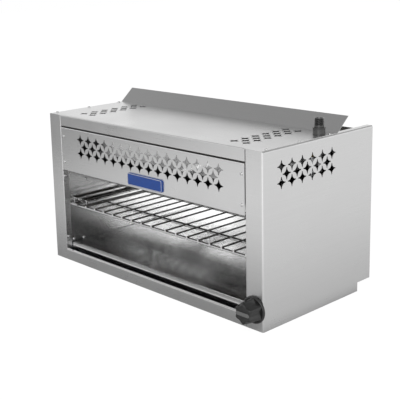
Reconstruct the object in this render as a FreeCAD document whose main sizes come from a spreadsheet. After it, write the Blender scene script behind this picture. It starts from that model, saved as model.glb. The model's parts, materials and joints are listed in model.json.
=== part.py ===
import FreeCAD, Part
import Sketcher
import os
import re
from math import cos, hypot, pi, sin, tan
from FreeCAD import Placement, Rotation, Vector

# Countertop gas cheese melter: a folded sheet body, open at the front, with a burner
# that shines down on a wire rack above a crumb tray.
# Millimetres, +Z up, +X to the right, +Y to the rear. The origin is the centre of the base.

doc = FreeCAD.newDocument("CheeseMelter")

# Driving dimensions
SIZES = {
    # outer body
    "body_width": 914.4,
    "body_depth": 470.0,
    "body_height": 482.6,
    "sheet": 1.2,
    "bend_outside": 5.0,
    "small_bend": 2.4,
    "post_width": 59.2,
    "jamb_depth": 22.0,
    "side_flange": 20.0,
    "wall_gap": 59.5,
    "notch_height": 26.7,
    "fit_gap": 0.4,
    "cut_over": 5.0,
    # top, front lip and flue
    "flue_depth": 104.3,
    "lip_height": 34.0,
    "lip_side_gap": 0.9,
    "rear_lip_height": 20.0,
    "deflector_run": 49.0,
    "deflector_rise": 42.0,
    "deflector_foot": 17.0,
    # burner front panel, its brackets and its plate
    "panel_top_gap": 5.0,
    "panel_height": 140.5,
    "panel_side_gap": 2.0,
    "panel_return": 12.0,
    "baffle_rise": 78.0,
    "baffle_side_gap": 2.0,
    "bracket_reach": 26.0,
    "bracket_rise": 15.9,
    "bracket_length": 114.0,
    "bracket_depth": 18.0,
    "panel_screw_inset": 12.5,
    "panel_screw_rise": 29.0,
    "panel_screw_pitch": 83.0,
    "badge_width": 150.0,
    "badge_height": 36.5,
    "badge_gauge": 5.0,
    "badge_rise": 7.5,
    "badge_shift": 8.0,
    "badge_corner": 6.0,
    # star vents
    "star_tip": 16.1,
    "star_waist": 8.0,
    "star_end": 2.6,
    "star_row_step": 22.2,
    "vent_row_step": 21.8,
    "front_star_pitch": 40.06,
    "vent_star_pitch": 42.0,
    "front_star_margin": 90.0,
    "front_star_shift": 3.5,
    "front_star_drop": 30.0,
    "side_star_drop": 50.4,
    "side_star_start": 72.5,
    "top_star_inset": 103.2,
    "top_star_start": 63.0,
    "top_star_lead": 9.0,
    "top_star_end": 25.0,
    # bottom rail, base pan and rear
    "bottom_rail_height": 34.6,
    "bottom_rail_flange": 8.0,
    "leg_inset_x": 32.0,
    "leg_inset_y": 60.0,
    "leg_hole_radius": 5.2,
    "angle_leg": 15.0,
    "rear_screw_end": 45.0,
    # liners, shield and spacers
    "liner_top_gap": 27.6,
    "liner_front_gap": 1.4,
    "shield_front": 24.0,
    "shield_gap": 5.0,
    "baffle_foot": 12.0,
    "spacer_level": 240.0,
    "spacer_height": 30.0,
    "spacer_depth": 20.0,
    "spacer_front": 83.0,
    "spacer_rear": 69.3,
    # rack rails
    "rail_level": 181.0,
    "rail_height": 22.0,
    "rail_reach": 14.0,
    "rail_front": 40.0,
    "rail_rear_gap": 13.3,
    "rail_screw_front": 60.8,
    "rail_screw_rear": 44.0,
    # wire rack
    "rack_level": 176.0,
    "rack_front": 50.0,
    "rack_rear_gap": 14.3,
    "ring_bend": 9.0,
    "wire_radius": 2.6,
    "wire_side_gap": 28.9,
    "middle_gap": 62.0,
    "rod_radius": 3.2,
    "cross_rod_radius": 4.0,
    "cross_rod_drop": 0.6,
    "cross_rod_over": 3.0,
    "weld_sink": 0.6,
    "cross_rod_front": 94.0,
    "cross_rod_rear": 65.0,
    "front_rod_setback": 7.0,
    "front_rod_gap": 3.0,
    "rack_side_gap": 0.8,
    "riser_front": 28.0,
    "riser_inset": 16.0,
    "runner_bend": 4.2,
    "runner_out": 10.4,
    "slide_gap": 0.3,
    # crumb tray and its guides
    "tray_front": 23.5,
    "tray_rear_gap": 9.8,
    "tray_left_gap": 2.5,
    "tray_knob_gap": 1.0,
    "tray_rim_level": 54.0,
    "tray_depth": 11.0,
    "tray_slope": 24.0,
    "tray_lip_height": 18.0,
    "tray_lip_radius": 3.0,
    "guide_inset": 33.0,
    "guide_width": 12.0,
    "guide_foot": 8.0,
    "guide_front": 31.0,
    "guide_rear_gap": 22.3,
    # burner
    "burner_end_gap": 26.0,
    "burner_front": 66.0,
    "burner_rear_gap": 45.3,
    "frame_drop": 45.0,
    "frame_height": 18.0,
    "frame_rim": 14.0,
    "frame_ledge": 8.0,
    "ledge_gauge": 3.0,
    "plenum_height": 25.0,
    "plenum_gauge": 1.5,
    "tile_thick": 13.0,
    "tile_gap": 1.0,
    "tile_chamfer": 2.0,
    "screen_gauge": 2.0,
    "screen_border": 8.0,
    "screen_bar": 5.0,
    "hanger_reach": 40.0,
    "hanger_leg": 18.0,
    # venturi and orifice
    "venturi_radius": 10.0,
    "venturi_wall": 1.5,
    "venturi_drop": 15.0,
    "venturi_inside": 120.0,
    "venturi_outside": 20.0,
    "mouth_radius": 13.0,
    "mouth_depth": 8.0,
    "liner_port_radius": 12.0,
    "shutter_gauge": 2.0,
    "shutter_hole_radius": 2.4,
    "spud_radius": 6.0,
    "spud_length": 10.0,
    "orifice_radius": 1.0,
    "elbow_size": 16.0,
    # gas train
    "inlet_behind": 48.5,
    "nipple_radius": 10.65,
    "thread_radius": 9.9,
    "inlet_radius": 13.35,
    "inlet_thread_radius": 12.6,
    "inlet_bore": 10.4,
    "nipple_height": 25.0,
    "collar_radius": 17.4,
    "collar_height": 20.5,
    "pipe_hole_gap": 1.0,
    "fitting_radius": 15.0,
    "fitting_reach": 20.0,
    "valve_bonnet": 14.0,
    "valve_rear": 60.0,
    "valve_radius": 14.0,
    "bonnet_radius": 9.0,
    "outlet_radius": 8.5,
    "outlet_rise": 28.0,
    "outlet_y": 45.0,
    "supply_radius": 6.35,
    "supply_turn_drop": 125.0,
    "supply_bend": 25.0,
    "clamp_drop": 155.0,
    "clamp_height": 16.0,
    "clamp_wall": 2.0,
    "clamp_foot": 14.0,
    "pilot_y": 120.0,
    "pilot_block": 16.0,
    "pilot_shift": 9.6,
    "pilot_tube_radius": 3.175,
    "pilot_bend": 12.0,
    "pilot_drop": 27.0,
    "pilot_front": 66.0,
    "pilot_reach": 26.0,
    "pilot_hole_gap": 1.3,
    "pilot_head_radius": 6.0,
    "pilot_head_length": 22.0,
    # control knob and stem
    "knob_level": 57.5,
    "knob_depth": 48.0,
    "knob_gap": 0.8,
    "skirt_radius": 37.5,
    "skirt_thick": 7.0,
    "skirt_chamfer": 2.5,
    "grip_radius": 34.5,
    "grip_front_radius": 29.0,
    "flute_radius": 11.0,
    "flute_depth": 3.4,
    "pointer_length": 46.0,
    "pointer_width": 10.5,
    "pointer_proud": 1.0,
    "stem_radius": 4.0,
    "stem_running_gap": 0.05,
    "stem_hole_gap": 1.5,
    "stem_in_valve": 26.0,
    "stem_in_knob": 26.0,
    # fasteners
    "screw_head_radius": 4.6,
    "screw_head_height": 2.8,
    "screw_dome": 1.4,
    "screw_radius": 2.1,
    "screw_length": 7.0,
    "screw_hole_gap": 0.3,
    "top_screw_inset": 9.5,
    "top_screw_front": 25.0,
    "top_screw_rear": 21.0,
    "jamb_screw_y": 9.0,
    "jamb_screw_level": 76.0,
    "jamb_screw_drop": 22.1,
    "liner_screw_low": 62.0,
    "liner_screw_front": 32.0,
    "liner_screw_step": 40.0,
    "rivet_radius": 1.6,
    "rivet_hole_gap": 0.1,
    "rivet_head_radius": 3.2,
    "rivet_head_height": 1.2,
    "rivet_end": 36.0,
}

# How many of each
TOP_SCREWS = 3
RAIL_SCREWS = 3
REAR_SCREWS = 4
RIVETS = 9
STAR_ROWS = 3
WIRES_PER_SIDE = 8
CROSS_RODS = 2
SPACERS_PER_SIDE = 2
TILE_COLUMNS = 5
TILE_ROWS = 2
SCREEN_COLUMNS = 24
SCREEN_ROWS = 10
KNOB_FLUTES = 6
SHUTTER_HOLES = 4
FULL_TURN = 360

# Places that follow from the sizes
PLACES = {
    "half_width": "body_width / 2",
    "front": "-body_depth / 2",
    "rear": "body_depth / 2",
    "skin_back": "front + sheet",
    "skin_inner": "half_width - sheet",
    "bend_inside": "bend_outside - sheet",
    "small_inside": "small_bend - sheet",
    "post_inner": "half_width - post_width",
    "knob_x": "half_width - post_width / 2",
    "liner_face": "post_inner + sheet",
    "liner_back": "liner_face + sheet",
    "top_under": "body_height - sheet",
    "flange_under": "top_under - sheet",
    "rear_face": "rear - wall_gap",
    "rear_inner": "rear_face - sheet",
    "angle_top": "flange_under - bend_inside",
    "jamb_back": "front + jamb_depth",
    "flange_tip": "half_width - side_flange",
    "top_half": "half_width - bend_outside",
    "top_rear": "rear_inner - flue_depth",
    "top_depth": "top_rear - front",
    "lip_half": "post_inner - lip_side_gap",
    "lip_low": "body_height - lip_height",
    "foot_back": "top_rear + sheet",
    "panel_top": "lip_low - panel_top_gap",
    "panel_bottom": "panel_top - panel_height",
    "panel_half": "post_inner - panel_side_gap",
    "panel_screw_x": "post_inner - panel_screw_inset",
    "panel_screw_z": "panel_bottom + panel_screw_rise",
    "bracket_low": "panel_bottom + bracket_rise",
    "badge_low": "panel_bottom + badge_rise",
    "badge_half": "badge_width / 2",
    "baffle_half": "post_inner - bracket_reach - baffle_side_gap",
    "baffle_back": "skin_back + panel_return",
    "rail_half": "post_inner - fit_gap",
    "leg_x": "half_width - leg_inset_x",
    "leg_front": "front + leg_inset_y",
    "leg_rear": "rear_face - leg_inset_y",
    "liner_front": "skin_back + liner_front_gap",
    "liner_height": "body_height - liner_top_gap",
    "shield_top": "liner_height + sheet",
    "shield_start": "front + shield_front",
    "shield_end": "top_rear - shield_gap",
    "spacer_middle": "spacer_level + spacer_height / 2",
    "spacer_start": "front + spacer_front",
    "spacer_pitch": "(rear_inner - spacer_rear - spacer_start) / %d" % (SPACERS_PER_SIDE - 1),
    "rail_start": "front + rail_front",
    "rail_end": "rear_inner - rail_rear_gap",
    "rail_floor": "rail_level + sheet",
    "rail_screw_z": "rail_level + rail_height / 2",
    "rail_screw_start": "front + rail_screw_front",
    "rail_screw_pitch": "(rail_end - rail_screw_rear - rail_screw_start) / %d" % (RAIL_SCREWS - 1),
    "rail_tip": "liner_face - rail_reach",
    "runner_z": "rail_floor + slide_gap + rod_radius",
    "riser_x": "rail_tip - rack_side_gap - rod_radius",
    "runner_x": "riser_x + runner_out",
    "rack_start": "front + rack_front",
    "rack_end": "rear_inner - rack_rear_gap",
    "wire_pitch": "(riser_x - wire_side_gap - middle_gap / 2) / %d" % (WIRES_PER_SIDE - 1),
    "cross_rod_start": "rack_start + cross_rod_front",
    "cross_rod_half": "riser_x + cross_rod_over",
    "cross_rod_pitch": "(rack_end - cross_rod_rear - cross_rod_start) / %d" % (CROSS_RODS - 1),
    "front_rod_y": "rack_start + front_rod_setback",
    "riser_start": "rack_start + riser_front",
    "riser_end": "rack_end - riser_inset",
    "rod_z": "rack_level - wire_radius - rod_radius + weld_sink",
    "riser_low": "rod_z + rod_radius",
    "cross_rod_z": "rod_z - cross_rod_drop",
    "front_rod_half": "liner_face - front_rod_gap",
    "tray_start": "front + tray_front",
    "tray_end": "rear_inner - tray_rear_gap",
    "tray_left": "tray_left_gap - post_inner",
    "tray_right": "knob_x - skirt_radius - tray_knob_gap",
    "tray_bottom": "tray_rim_level - tray_depth",
    "tray_floor": "tray_bottom + sheet",
    "tray_lip_low": "tray_rim_level - tray_lip_height",
    "tray_crease": "tray_start + sheet + tray_slope",
    "guide_x": "post_inner - guide_inset",
    "guide_top": "tray_bottom - slide_gap",
    "guide_start": "front + guide_front",
    "guide_end": "rear_inner - guide_rear_gap",
    "guide_length": "guide_end - guide_start",
    "burner_start": "front + burner_front",
    "burner_end": "rear_inner - burner_rear_gap",
    "burner_half": "post_inner - burner_end_gap",
    "frame_level": "liner_height - frame_drop",
    "frame_top": "frame_level + frame_height",
    "window_half": "burner_half - frame_rim",
    "window_start": "burner_start + frame_rim",
    "window_end": "burner_end - frame_rim",
    "tile_level": "frame_level + ledge_gauge",
    "screen_level": "frame_level - screen_gauge",
    "plenum_top": "frame_top + plenum_height",
    "venturi_centre_y": "(burner_start + burner_end) / 2",
    "venturi_z": "liner_height - venturi_drop",
    "venturi_tail": "burner_half - venturi_inside",
    "venturi_mouth": "liner_back + venturi_outside",
    "shutter_ring": "(mouth_radius + spud_radius) / 2",
    "orifice_x": "venturi_mouth + shutter_gauge + spud_length",
    "supply_x": "orifice_x + elbow_size / 2",
    "elbow_low": "venturi_z - elbow_size / 2",
    "inlet_centre_y": "venturi_centre_y + inlet_behind",
    "collar_top": "body_height + collar_height",
    "collar_middle": "body_height + collar_height / 2",
    "inlet_top": "collar_top + nipple_height",
    "fitting_top": "knob_level + fitting_reach",
    "fitting_front": "inlet_centre_y - fitting_reach",
    "valve_start": "front + valve_bonnet",
    "valve_end": "front + valve_rear",
    "outlet_centre_y": "front + outlet_y",
    "outlet_top": "knob_level + outlet_rise",
    "supply_turn_level": "liner_height - supply_turn_drop",
    "clamp_level": "liner_height - clamp_drop",
    "pilot_centre_y": "front + pilot_y",
    "pilot_x": "knob_x - pilot_shift",
    "pilot_block_top": "knob_level + nipple_radius + pilot_block / 2",
    "pilot_end_y": "front + pilot_front",
    "pilot_level": "frame_level - pilot_drop",
    "pilot_end_x": "liner_face - pilot_reach",
    "knob_back": "front - knob_gap",
    "skirt_front": "knob_back - skirt_thick",
    "knob_front": "front - knob_depth",
    "grip_front": "knob_front + pointer_proud",
    "stem_bore": "stem_radius + stem_running_gap",
    "stem_end": "front + stem_in_valve",
    "stem_tip": "knob_back - stem_in_knob",
    "top_screw_x": "half_width - top_screw_inset",
    "top_screw_start": "front + top_screw_front",
    "top_screw_pitch": "(top_rear - top_screw_rear - top_screw_start) / %d" % (TOP_SCREWS - 1),
    "front_star_room": "2 * (panel_half - front_star_margin)",
    "vent_star_room": "top_depth - top_star_start - top_star_end",
    "screw_hole": "screw_radius + screw_hole_gap",
    "jamb_screw_place": "front + jamb_screw_y",
    "jamb_screw_pitch": "panel_bottom - jamb_screw_drop - jamb_screw_level",
    "rear_screw_x": "skin_inner - angle_leg / 2",
    "rivet_z": "body_height - deflector_foot / 2",
    "rivet_hole": "rivet_radius + rivet_hole_gap",
}


X_AXIS = Vector(1, 0, 0)
Y_AXIS = Vector(0, 1, 0)
Z_AXIS = Vector(0, 0, 1)
UPRIGHT = Rotation()
ALONG_X = Rotation(Z_AXIS, X_AXIS)
ALONG_Y = Rotation(Z_AXIS, Y_AXIS)
ALONG_MINUS_Y = Rotation(Z_AXIS, -Y_AXIS)
SIDES = (1, -1)


# Sheets and small helpers

def bound(text):
    """Turn an expression in plain names into one that reads the two sheets."""
    def qualify(match):
        word = match.group(0)
        if word in SIZES:
            return "Sizes." + word
        if word in PLACES:
            return "Places." + word
        return word
    return re.sub(r"[a-z][a-z0-9_]*", qualify, text)


def fill_sheet(name, cells):
    sheet = doc.addObject("Spreadsheet::Sheet", name)
    for row, (alias, content) in enumerate(cells.items(), start=1):
        sheet.set("A%d" % row, alias)
        sheet.setAlias("B%d" % row, alias)
        sheet.set("B%d" % row, content)
    doc.recompute()
    return sheet


sizes = fill_sheet("Sizes", {name: str(value) for name, value in SIZES.items()})
places = fill_sheet("Places", {name: "=" + bound(text).replace("Places.", "")
                               for name, text in PLACES.items()})
pieces = []


def size(name):
    """One number from the sheets."""
    sheet = sizes if name in SIZES else places
    return float(sheet.get(name))


def total(text):
    """The value of a sum of names, such as 'front + sheet'."""
    result = 0.0
    sign = 1
    for word in text.split():
        if word in "+-":
            sign = -1 if word == "-" else 1
        elif word != "0":
            result += sign * size(word)
    return result


def point(x, y, z):
    return Vector(total(x), total(y), total(z))


def piece(label, obj):
    """Name a finished sub-part, which goes into its own file."""
    obj.Label = label
    pieces.append(obj)
    return obj


def put(obj, x, y, z, rotation=UPRIGHT):
    obj.Placement = Placement(Vector(), rotation)
    for axis, text in zip("xyz", (x, y, z)):
        obj.setExpression(".Placement.Base." + axis, bound(text))
    return obj


def box(x, y, z):
    """A block between two places along each axis."""
    obj = doc.addObject("Part::Box", "Block")
    for prop, (low, high) in zip(("Length", "Width", "Height"), (x, y, z)):
        obj.setExpression(prop, bound("(%s) - (%s)" % (high, low)))
    return put(obj, x[0], y[0], z[0])


def cylinder(radius, height, x, y, z, rotation=UPRIGHT):
    obj = doc.addObject("Part::Cylinder", "Round")
    obj.setExpression("Radius", bound(radius))
    obj.setExpression("Height", bound(height))
    return put(obj, x, y, z, rotation)


def cone(wide, narrow, height, x, y, z, rotation=UPRIGHT):
    obj = doc.addObject("Part::Cone", "Taper")
    obj.setExpression("Radius1", bound(wide))
    obj.setExpression("Radius2", bound(narrow))
    obj.setExpression("Height", bound(height))
    return put(obj, x, y, z, rotation)


def fuse(*parts):
    obj = doc.addObject("Part::MultiFuse", "Joined")
    obj.Shapes = list(parts)
    obj.Refine = True
    return obj


def cut(base, *tools):
    for tool in tools:
        obj = doc.addObject("Part::Cut", "Trimmed")
        obj.Base = base
        obj.Tool = tool
        base = obj
    return base


def group(parts):
    """Separate solids, kept apart under one name."""
    obj = doc.addObject("Part::Compound", "Group")
    obj.Links = list(parts)
    return obj


def mirrored(source):
    obj = doc.addObject("Part::Mirroring", "Opposite")
    obj.Source = source
    obj.Normal = X_AXIS
    return obj


def computed(shape):
    obj = doc.addObject("Part::Feature", "Computed")
    obj.Shape = shape
    return obj


def pair(name, right):
    """Both hands of a piece that is modelled on the right."""
    piece(name + "_right", right)
    piece(name + "_left", mirrored(right))


def edges_at(shape, wanted):
    """Numbers of the straight edges that lie at the given x, y or z."""
    near = size("fit_gap") / 2
    numbers = []
    for number, edge in enumerate(shape.Edges, start=1):
        ends = [vertex.Point for vertex in edge.Vertexes]
        if len(ends) == 2 and all(abs(getattr(end, axis) - total(place)) < near
                                  for end in ends for axis, place in wanted.items()):
            numbers.append(number)
    return numbers


def rounded(base, radius, *lines):
    """Round the edges of a block; each line names the two places that it lies at."""
    doc.recompute()
    numbers = [number for line in lines for number in edges_at(base.Shape, line)]
    obj = doc.addObject("Part::Fillet", "Bend")
    obj.Base = base
    obj.Edges = [(number, size(radius), size(radius)) for number in numbers]
    return obj


def folded(plane, points, length, x, y, z):
    """A body padded from an outline of (across, up) sums of names."""
    body = doc.addObject("PartDesign::Body", "Folded")
    sketch = body.newObject("Sketcher::SketchObject", "Outline")
    support = [feature for feature in body.Origin.OriginFeatures if feature.Role == plane][0]
    sketch.AttachmentSupport = [(support, "")]
    sketch.MapMode = "FlatFace"
    corners = [Vector(total(across), total(up), 0) for across, up in points]
    for corner, following in zip(corners, corners[1:] + corners[:1]):
        sketch.addGeometry(Part.LineSegment(corner, following), False)
    for number in range(len(corners)):
        following = (number + 1) % len(corners)
        sketch.addConstraint(Sketcher.Constraint("Coincident", number, 2, following, 1))
    for number, (texts, corner) in enumerate(zip(points, corners)):
        for kind, text, value in zip(("DistanceX", "DistanceY"), texts, corner):
            place = sketch.addConstraint(Sketcher.Constraint(kind, -1, 1, number, 1, value))
            sketch.setExpression("Constraints[%d]" % place, bound(text))
    pad = body.newObject("PartDesign::Pad", "Sheet")
    pad.Profile = sketch
    pad.setExpression("Length", bound(length))
    return put(body, x, y, z)


def cornered_path(points, bend, closed=False):
    """Straight runs joined by tangent arcs of one radius."""
    count = len(points)
    arcs = {}
    for number in range(count) if closed else range(1, count - 1):
        corner = points[number]
        before = (points[number - 1] - corner).normalize()
        after = (points[(number + 1) % count] - corner).normalize()
        half_angle = before.getAngle(after) / 2
        reach = bend / tan(half_angle)
        middle = (before + after).normalize() * (bend / sin(half_angle) - bend)
        arcs[number] = (corner + before * reach, corner + middle, corner + after * reach)
    edges = []
    for number in range(count) if closed else range(count - 1):
        following = (number + 1) % count
        start = arcs[number][2] if number in arcs else points[number]
        end = arcs[following][0] if following in arcs else points[following]
        edges.append(Part.LineSegment(start, end).toShape())
        if following in arcs:
            edges.append(Part.Arc(*arcs[following]).toShape())
    return Part.Wire(edges)


def bent_rod(points, radius, bend, closed=False):
    path = cornered_path(points, bend, closed)
    start = path.Edges[0].Vertexes[0].Point
    profile = Part.Wire(Part.Circle(start, points[1] - points[0], radius).toShape())
    return path.makePipeShell([profile], True, False)


def straight_rod(start, end, radius):
    run = end - start
    return Part.makeCylinder(radius, run.Length, start, run)


# Fasteners and the holes that they fill

def headed_pin(head_radius, head_height, dome, radius, length):
    """A domed head above z = 0 with its shank below."""
    head = Part.makeCylinder(head_radius, head_height)
    rim = [edge for edge in head.Edges
           if len(edge.Vertexes) == 1 and edge.Vertexes[0].Point.z > head_height / 2]
    head = head.makeFillet(dome, rim)
    shank = Part.makeCylinder(radius, length, Vector(), -Z_AXIS)
    return head.fuse(shank).removeSplitter()


def screw():
    return headed_pin(size("screw_head_radius"), size("screw_head_height"), size("screw_dome"),
                      size("screw_radius"), size("screw_length"))


def rivet():
    return headed_pin(size("rivet_head_radius"), size("rivet_head_height"),
                      size("rivet_head_height") / 2, size("rivet_radius"), 3 * size("sheet"))


def set_of(shape, seats):
    """Copies of one fastener, each at a seat with its head turned outwards."""
    copies = []
    for place, outward in seats:
        copy = shape.copy()
        copy.Placement = Placement(place, Rotation(Z_AXIS, outward))
        copies.append(copy)
    return computed(Part.Compound(copies))


def holes(seats, radius="screw_hole"):
    """Cutters through the sheets below the seats."""
    over = size("cut_over")
    return computed(Part.Compound([
        Part.makeCylinder(size(radius), 2 * over, place + outward * over, -outward)
        for place, outward in seats]))


def on_both_sides(rows):
    """Seats on walls that face inwards, from (x, y, z) on the right."""
    return [(Vector(side * x, y, z), X_AXIS * -side) for side in SIDES for x, y, z in rows]


def top_seats():
    return [(Vector(side * size("top_screw_x"),
                    size("top_screw_start") + number * size("top_screw_pitch"),
                    size("body_height")), Z_AXIS)
            for side in SIDES for number in range(TOP_SCREWS)]


def panel_seats():
    return [(Vector(side * size("panel_screw_x"), size("front"),
                    size("panel_screw_z") + number * size("panel_screw_pitch")), -Y_AXIS)
            for side in SIDES for number in range(2)]


def jamb_seats():
    return on_both_sides([(size("post_inner"), size("jamb_screw_place"),
                           size("jamb_screw_level") + number * size("jamb_screw_pitch"))
                          for number in range(2)])


def rail_seats():
    return on_both_sides([(total("liner_face - sheet"),
                           size("rail_screw_start") + number * size("rail_screw_pitch"),
                           size("rail_screw_z")) for number in range(RAIL_SCREWS)])


def liner_seats():
    face = size("liner_face")
    spacer_y = size("spacer_start") + size("spacer_depth") / 2
    low_y = total("front + liner_screw_front")
    low_z = size("liner_screw_low")
    return on_both_sides([
        (face, spacer_y, size("spacer_middle")),
        (face, spacer_y + size("spacer_pitch"), size("spacer_middle")),
        (face, low_y, low_z),
        (face, low_y + size("liner_screw_step"), low_z - size("screw_head_radius")),
    ])


def rear_seats():
    run = size("flange_under") - 2 * size("rear_screw_end")
    return [(Vector(side * size("rear_screw_x"), size("rear_face"),
                    size("rear_screw_end") + run * number / (REAR_SCREWS - 1)), Y_AXIS)
            for side in SIDES for number in range(REAR_SCREWS)]


def rivet_seats():
    half_span = total("flange_tip - rivet_end")
    return [(Vector(half_span * (2 * number / (RIVETS - 1) - 1), size("foot_back"), size("rivet_z")),
             Y_AXIS) for number in range(RIVETS)]


def fasteners():
    piece("top_screws", set_of(screw(), top_seats()))
    piece("panel_screws", set_of(screw(), panel_seats()))
    piece("jamb_screws", set_of(screw(), jamb_seats()))
    piece("rail_screws", set_of(screw(), rail_seats()))
    piece("liner_screws", set_of(screw(), liner_seats()))
    piece("rear_screws", set_of(screw(), rear_seats()))
    piece("deflector_rivets", set_of(rivet(), rivet_seats()))


# Star vents

def star_prism(normal, across):
    """A four-pointed star with hollow sides and blunt tips, as a cutter through one sheet."""
    tip = size("star_tip")
    waist = size("star_waist")
    blunt = size("star_end") / 2
    up = normal.cross(across)
    edges = []
    for one, other in ((across, up), (up, -across), (-across, -up), (-up, across)):
        start = one * tip + other * blunt
        end = other * tip + one * blunt
        middle = (one + other) * (waist * sin(pi / 4))
        edges.append(Part.Arc(start, middle, end).toShape())
        edges.append(Part.LineSegment(end, other * tip - one * blunt).toShape())
    face = Part.Face(Part.Wire(edges))
    face.translate(normal * -size("cut_over"))
    return face.extrude(normal * 2 * size("cut_over"))


def stars_in(room, pitch):
    return int(size(room) / size(pitch)) + 1


def star_field(normal, across, first, pitch, row_step, count):
    """Three rows; the middle row has one star less and sits half a pitch along."""
    star = star_prism(normal, across)
    copies = []
    for row in range(STAR_ROWS):
        odd = row % 2
        for number in range(count - odd):
            copy = star.copy()
            copy.translate(first + across * (pitch * (number + odd / 2)) + row_step * row)
            copies.append(copy)
    return computed(Part.Compound(copies))


def front_stars():
    pitch = size("front_star_pitch")
    count = stars_in("front_star_room", "front_star_pitch")
    start = point("front_star_shift", "front", "panel_top - front_star_drop")
    return star_field(Y_AXIS, X_AXIS, start - X_AXIS * (pitch * (count - 1) / 2), pitch,
                      Z_AXIS * -size("star_row_step"), count)


def side_stars():
    start = point("half_width", "front + side_star_start", "body_height - side_star_drop")
    return star_field(X_AXIS, Y_AXIS, start, size("vent_star_pitch"),
                      Z_AXIS * -size("vent_row_step"), stars_in("vent_star_room", "vent_star_pitch"))


def top_stars(side):
    """The right field starts nearer to the front than the left one."""
    lead = size("top_star_lead") if side > 0 else 0
    start = Vector(side * total("half_width - top_star_inset"), total("front + top_star_start") - lead,
                   size("body_height"))
    return star_field(Z_AXIS, Y_AXIS, start, size("vent_star_pitch"),
                      X_AXIS * -side * size("vent_row_step"),
                      stars_in("vent_star_room", "vent_star_pitch"))


# Outer sheets

def side_panels():
    """Skin, front post and jamb in one sheet; only the right one is cut for gas pipe and stem."""
    outer = rounded(box(("post_inner", "half_width"), ("front", "rear"), ("0", "top_under")),
                    "bend_outside", {"x": "half_width", "y": "front"},
                    {"x": "half_width", "z": "top_under"})
    outer = rounded(outer, "small_bend", {"x": "post_inner", "y": "front"})
    inner = rounded(box(("liner_face", "skin_inner"), ("skin_back", "rear + cut_over"),
                        ("-cut_over", "flange_under")),
                    "bend_inside", {"x": "skin_inner", "y": "skin_back"},
                    {"x": "skin_inner", "z": "flange_under"})
    inner = rounded(inner, "small_inside", {"x": "liner_face", "y": "skin_back"})
    behind_jamb = box(("post_inner - cut_over", "liner_back"),
                      ("front + jamb_depth", "rear + cut_over"), ("-cut_over", "top_under + cut_over"))
    open_top = box(("post_inner - cut_over", "flange_tip"), ("skin_back", "rear + cut_over"),
                   ("flange_under - fit_gap", "top_under + cut_over"))
    notch = box(("skin_inner - cut_over", "half_width + cut_over"), ("rear_face", "rear + cut_over"),
                ("-cut_over", "notch_height"))
    plain = cut(outer, inner, behind_jamb, open_top, notch, side_stars(),
                holes(top_seats()), holes(jamb_seats()))
    inlet_notch = cylinder("nipple_radius + pipe_hole_gap", "2 * cut_over", "knob_x",
                           "inlet_centre_y", "top_under - cut_over")
    stem_hole = cylinder("stem_radius + stem_hole_gap", "2 * cut_over", "knob_x",
                         "front + cut_over", "knob_level", ALONG_MINUS_Y)
    piece("side_panel_right", cut(plain, inlet_notch, stem_hole))
    piece("side_panel_left", mirrored(plain))


def top_panel():
    outer = rounded(box(("-lip_half", "lip_half"), ("front", "top_rear"), ("lip_low", "body_height")),
                    "small_bend", {"y": "front", "z": "body_height"})
    inner = rounded(box(("-lip_half - cut_over", "lip_half + cut_over"),
                        ("skin_back", "top_rear + cut_over"), ("lip_low - cut_over", "top_under")),
                    "small_inside", {"y": "skin_back", "z": "top_under"})
    wings = [box(span, ("front", "top_rear"), ("top_under", "body_height"))
             for span in (("lip_half", "top_half"), ("-top_half", "-lip_half"))]
    rear_lip = box(("fit_gap - flange_tip", "flange_tip - fit_gap"), ("top_rear - sheet", "top_rear"),
                   ("body_height - rear_lip_height", "top_under"))
    inlet_hole = cylinder("nipple_radius + pipe_hole_gap", "2 * cut_over", "knob_x",
                          "inlet_centre_y", "body_height - cut_over")
    whole = fuse(cut(outer, inner), *wings, rear_lip)
    piece("top_panel", cut(whole, top_stars(1), top_stars(-1), inlet_hole, holes(top_seats()),
                           holes(rivet_seats(), "rivet_hole")))


def flue_deflector():
    """A plate that leans back over the flue, on a foot behind the top's rear lip."""
    slope = hypot(size("deflector_run"), size("deflector_rise"))
    lean = Vector(0, size("deflector_run"), size("deflector_rise")) / slope
    behind = Vector(0, lean.z, -lean.y) * size("sheet")
    base = point("0 - half_width", "top_rear", "body_height")
    tip = base + lean * slope
    under_bend = base + behind + lean * ((size("sheet") - behind.y) / lean.y)
    corners = [base, tip, tip + behind, under_bend,
               point("0 - half_width", "foot_back", "top_under"),
               point("0 - half_width", "top_rear", "top_under")]
    face = Part.Face(Part.makePolygon(corners + corners[:1]))
    plate = computed(face.extrude(X_AXIS * size("body_width")))
    foot = box(("fit_gap - flange_tip", "flange_tip - fit_gap"), ("top_rear", "foot_back"),
               ("body_height - deflector_foot", "top_under"))
    piece("flue_deflector", cut(fuse(plate, foot), holes(rivet_seats(), "rivet_hole")))


def rear_wall():
    wall = rounded(box(("fit_gap - skin_inner", "skin_inner - fit_gap"), ("rear_inner", "rear_face"),
                       ("sheet", "flange_under")),
                   "bend_inside", {"x": "skin_inner - fit_gap", "z": "flange_under"},
                   {"x": "fit_gap - skin_inner", "z": "flange_under"})
    piece("rear_panel", cut(wall, holes(rear_seats())))
    against_wall = box(("skin_inner - angle_leg", "skin_inner"), ("rear_inner - sheet", "rear_inner"),
                       ("sheet", "angle_top"))
    against_side = box(("skin_inner - sheet", "skin_inner"), ("rear_inner - angle_leg", "rear_inner"),
                       ("sheet", "angle_top"))
    pair("rear_angle", cut(fuse(against_wall, against_side), holes(rear_seats())))


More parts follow.
